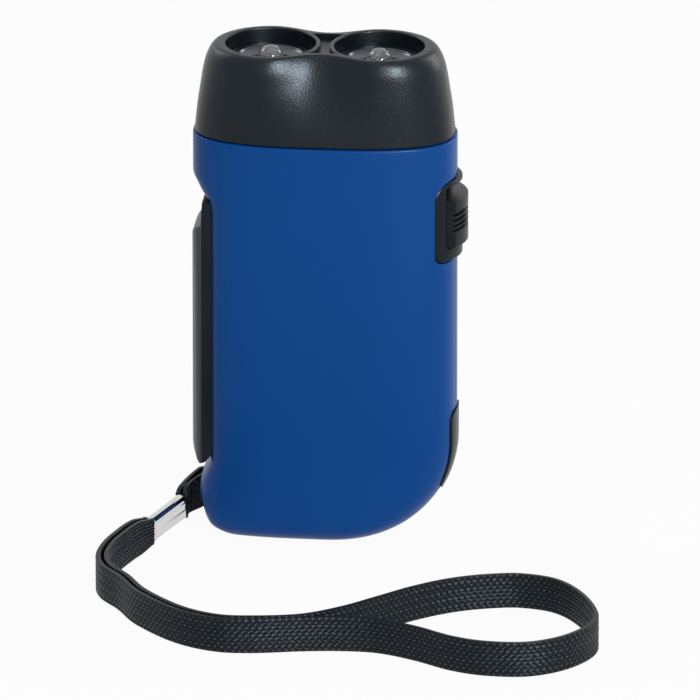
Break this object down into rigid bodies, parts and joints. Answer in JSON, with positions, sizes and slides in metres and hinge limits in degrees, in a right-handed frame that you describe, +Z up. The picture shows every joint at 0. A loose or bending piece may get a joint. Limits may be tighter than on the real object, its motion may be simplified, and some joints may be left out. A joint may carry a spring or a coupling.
{
  "type": "flashlight",
  "caption": "Hand-press dynamo flashlight: pocket housing with a side squeeze lever that drives a gear train and generator, twin lamps on top, slide switch and wrist strap.",
  "frame": {"origin": "On the flat bottom of the rear shell, midway across the flashlight.", "axes": "+Z up toward the lamps; +X toward the slide switch, away from the press lever; -Y is the front face."},
  "size_m": [0.1011, 0.0956, 0.1003],
  "materials": {
    "front_shell": "glossy moulded royal blue",
    "rear_shell": "glossy moulded royal blue",
    "head_cover": "fine-grained satin black",
    "reflector_left": "smooth dark dish",
    "reflector_right": "smooth dark dish",
    "led_left": "clear epoxy",
    "led_right": "clear epoxy",
    "led_board": "green circuit board",
    "press_lever": "satin black",
    "lever_pin": "drawn steel",
    "lever_spring": "spring wire",
    "gear_1": "natural moulded",
    "gear_1_axle": "ground steel",
    "gear_2": "natural moulded",
    "gear_2_axle": "ground steel",
    "rotor_pinion": "natural moulded",
    "rotor_axle": "ground steel",
    "magnet_rotor": "sintered ferrite",
    "stator_core": "stacked laminations",
    "coil_bobbin": "natural moulded",
    "coil_winding": "enamelled copper wire",
    "gear_plate_front": "natural moulded",
    "gear_plate_rear": "natural moulded",
    "switch_bezel": "smooth satin black",
    "switch_knob": "smooth satin black",
    "slide_switch": "plated steel",
    "battery_cradle": "moulded black",
    "battery_cell_1": "nickel-plated steel",
    "battery_cell_2": "nickel-plated steel",
    "battery_cell_3": "nickel-plated steel",
    "case_screw_1": "plated steel",
    "case_screw_2": "plated steel",
    "case_screw_3": "plated steel",
    "case_screw_4": "plated steel",
    "port_cover": "glossy black",
    "strap_pin": "drawn steel",
    "strap_tab": "woven black nylon",
    "strap_crimp": "bright plated crimp",
    "strap_lead": "woven black nylon, two plies",
    "strap_loop": "woven black nylon"
  },
  "bodies": {
    "housing": {"front_shell": "front_shell", "rear_shell": "rear_shell", "head_cover": "head_cover", "reflector_left": "reflector_left", "reflector_right": "reflector_right", "led_left": "led_left", "led_right": "led_right", "led_board": "led_board", "lever_pin": "lever_pin", "lever_spring": "lever_spring", "gear_1_axle": "gear_1_axle", "gear_2_axle": "gear_2_axle", "stator_core": "stator_core", "coil_bobbin": "coil_bobbin", "coil_winding": "coil_winding", "gear_plate_front": "gear_plate_front", "gear_plate_rear": "gear_plate_rear", "switch_bezel": "switch_bezel", "slide_switch": "slide_switch", "battery_cradle": "battery_cradle", "battery_cell_1": "battery_cell_1", "battery_cell_2": "battery_cell_2", "battery_cell_3": "battery_cell_3", "case_screw_1": "case_screw_1", "case_screw_2": "case_screw_2", "case_screw_3": "case_screw_3", "case_screw_4": "case_screw_4", "port_cover": "port_cover", "strap_pin": "strap_pin", "strap_tab": "strap_tab", "strap_crimp": "strap_crimp", "strap_lead": "strap_lead", "strap_loop": "strap_loop"},
    "lever": {"press_lever": "press_lever"},
    "first_gear": {"gear_1": "gear_1"},
    "second_gear": {"gear_2": "gear_2"},
    "rotor": {"rotor_pinion": "rotor_pinion", "rotor_axle": "rotor_axle", "magnet_rotor": "magnet_rotor"},
    "switch": {"switch_knob": "switch_knob"}
  },
  "joints": [
    {"name": "lever_press", "type": "hinge", "parent": "housing", "child": "lever", "pos_m": [-0.017, 0, 0.02], "axis": [0, 1, 0], "range_deg": [0, 9.5], "stiffness_Nm_per_rad": 0.3, "springref_deg": -14.32, "deforming": ["lever_spring"]},
    {"name": "first_gear_spin", "type": "hinge", "parent": "housing", "child": "first_gear", "pos_m": [-0.00428, 0, 0.04382], "axis": [0, 1, 0], "range_deg": [-42.5, 0]},
    {"name": "second_gear_spin", "type": "hinge", "parent": "housing", "child": "second_gear", "pos_m": [0.00412, 0, 0.05837], "axis": [0, 1, 0], "range_deg": [0, 136]},
    {"name": "rotor_spin", "type": "hinge", "parent": "housing", "child": "rotor", "pos_m": [0.0101, 0, 0.04796], "axis": [0, 1, 0], "range_deg": [-408, 0]},
    {"name": "switch_slide", "type": "slide", "parent": "housing", "child": "switch", "axis": [0, 0, 1], "range_m": [0, 0.0025]}
  ],
  "couplings": [
    {"joint": "first_gear_spin", "follows": "lever_press", "ratio": -4.4},
    {"joint": "second_gear_spin", "follows": "lever_press", "ratio": 14.08},
    {"joint": "rotor_spin", "follows": "lever_press", "ratio": -42.24}
  ]
}
